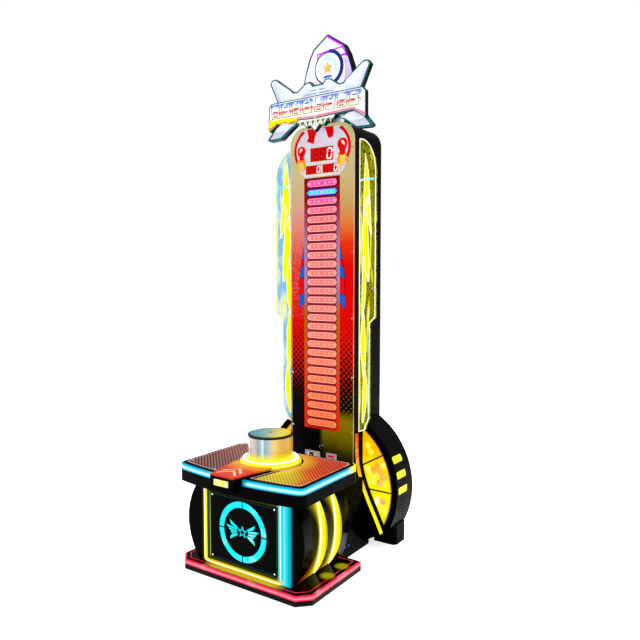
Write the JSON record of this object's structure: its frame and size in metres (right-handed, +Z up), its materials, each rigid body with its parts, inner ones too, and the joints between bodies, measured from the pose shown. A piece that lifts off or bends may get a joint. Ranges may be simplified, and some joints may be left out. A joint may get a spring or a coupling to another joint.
{
  "type": "strength tester arcade machine",
  "caption": "Free-standing strike tester: lit pedestal with a sprung strike drum, tall lamp tower with score displays, side wings and a crown topper.",
  "frame": {"origin": "on the floor, under the middle of the machine's overall width and length", "axes": "+Z up, +X to the player's right, the player stands on the -Y side"},
  "size_m": [0.984, 1.255, 3.139],
  "materials": {
    "black_board": "gloss black laminate",
    "side_shell": "gloss black",
    "black_case": "satin black",
    "fairing_black": "gloss black",
    "pink_light": "lit diffuser",
    "cyan_light": "lit diffuser",
    "table_light": "lit diffuser",
    "neon": "lit silicone tube",
    "gill_light": "lit diffuser",
    "ring_glow": "lit diffuser",
    "flange_yellow": "gloss yellow",
    "wing_acrylic": "edge-lit acrylic",
    "lens_amber": "back-lit printed acrylic",
    "rim_window": "lit window",
    "flare_light": "lit diffuser",
    "black_panel": "gloss black",
    "tower_print": "printed acrylic",
    "lamp_frame": "tinted acrylic",
    "lamp_lens": "lit lens",
    "display": "tinted display window",
    "deck_print": "ribbed printed inlay",
    "tongue_print": "printed plate",
    "button_lens": "lit button",
    "clear_skirt": "clear polycarbonate",
    "drum_steel": "brushed",
    "plain_steel": "satin",
    "plate_steel": "brushed",
    "small_chrome": "polished",
    "spring_steel": "oiled",
    "black_rubber": "matt",
    "topper_white": "gloss white",
    "banner_white": "back-lit white",
    "banner_print": "graded print",
    "face_white": "back-lit translucent",
    "badge_print": "printed disc",
    "board_green": "circuit board",
    "unit_grey": "moulded"
  },
  "bodies": {
    "cabinet": {"banner_blocks": "banner_print", "base_light": "pink_light", "base_plinth": "black_board", "card_plate": "plate_steel", "coin_plate": "plate_steel", "control_board": "board_green", "drum_flange": "flange_yellow", "fairing_front_ring": "fairing_black", "fairing_lenses": "lens_amber", "fairing_rim": "black_case", "flare_lights": "flare_light", "front_cabinet": "black_board", "front_emblem": "cyan_light", "front_panel": "black_panel", "front_ring_light": "cyan_light", "gill_lights": "gill_light", "hinge_pins": "plain_steel", "impact_sensor": "unit_grey", "lamp_frame": "lamp_frame", "lamp_lenses": "lamp_lens", "levelling_feet": "black_rubber", "link_body": "black_board", "neon_tube": "neon", "power_inlet": "unit_grey", "power_supply": "unit_grey", "rear_feet": "black_board", "rim_windows": "rim_window", "ring_light": "ring_glow", "score_displays": "display", "screws": "small_chrome", "shaft_bearing": "plain_steel", "side_shells": "side_shell", "speaker": "unit_grey", "stop_bumpers": "black_rubber", "table_deck": "black_board", "table_light": "table_light", "table_panels": "deck_print", "tongue_plate": "tongue_print", "topper_badge": "badge_print", "topper_banner": "banner_white", "topper_bracket": "plain_steel", "topper_cabinet": "black_case", "topper_face": "face_white", "topper_plate": "topper_white", "tower_flare": "black_board", "tower_panel": "tower_print", "tower_shell": "black_case", "wing_left": "wing_acrylic", "wing_right": "wing_acrylic"},
    "drum": {"drum_skirt": "clear_skirt", "drum_gasket": "black_rubber", "drum_cap": "drum_steel", "drum_shaft": "plain_steel", "shaft_clip": "plain_steel", "drum_spring": "spring_steel"},
    "start_button": {"start_button": "button_lens"},
    "coin_return": {"coin_return_button": "small_chrome"},
    "front_key": {"key_lock": "small_chrome"},
    "rear_door": {"rear_door": "black_case"},
    "door_cam": {"door_lock": "small_chrome"}
  },
  "joints": [
    {"name": "drum_strike", "type": "slide", "parent": "cabinet", "child": "drum", "axis": [0, 0, -1], "range_m": [0, 0.025], "stiffness_N_per_m": 12000, "springref_m": -0.02, "deforming": ["drum_spring"]},
    {"name": "start_press", "type": "slide", "parent": "cabinet", "child": "start_button", "axis": [0, 1, 0], "range_m": [0, 0.004], "stiffness_N_per_m": 600, "springref_m": -0.003},
    {"name": "coin_return_press", "type": "slide", "parent": "cabinet", "child": "coin_return", "axis": [0, 1, 0], "range_m": [0, 0.004], "stiffness_N_per_m": 300, "springref_m": -0.003},
    {"name": "front_key_turn", "type": "hinge", "parent": "cabinet", "child": "front_key", "pos_m": [0.002, 0.2955, 0.583], "axis": [0, 1, 0], "range_deg": [0, 90]},
    {"name": "rear_door_swing", "type": "hinge", "parent": "cabinet", "child": "rear_door", "pos_m": [-0.176, 0.6215, 1.115], "axis": [0, 0, 1], "range_deg": [0, 110]},
    {"name": "door_cam_turn", "type": "hinge", "parent": "rear_door", "child": "door_cam", "pos_m": [0.14, 0.6155, 1.15], "axis": [0, 1, 0], "range_deg": [-90, 0]}
  ]
}
